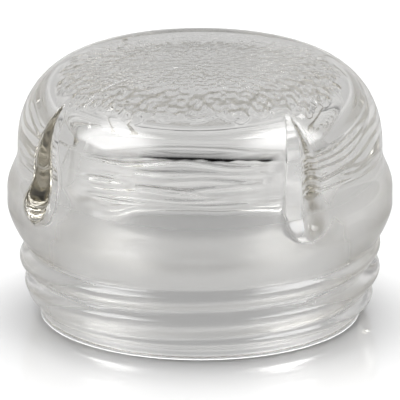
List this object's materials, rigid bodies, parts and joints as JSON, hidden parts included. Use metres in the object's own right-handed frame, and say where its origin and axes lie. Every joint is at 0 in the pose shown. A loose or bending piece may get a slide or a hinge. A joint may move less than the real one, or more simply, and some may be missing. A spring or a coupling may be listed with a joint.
{
  "type": "oven lamp cover",
  "caption": "Thick pressed-glass screw-in cover for an oven lamp: domed closed top, finger flange with grip notches, external right-hand thread, open bottom.",
  "frame": {"origin": "centre of the flat annular rim that the cover stands on, on the screw axis", "axes": "+Z along the screw axis from the open rim towards the closed dome; X and Y through the middles of the lobes, so the four finger notches lie at 45 degrees to them"},
  "size_m": [0.062, 0.062, 0.0422],
  "materials": {
    "glass": "clear pressed glass, glossy, with a stippled light-diffusing patch on the inside of the dome"
  },
  "bodies": {
    "root": {"glass_cover": "glass"}
  },
  "joints": []
}
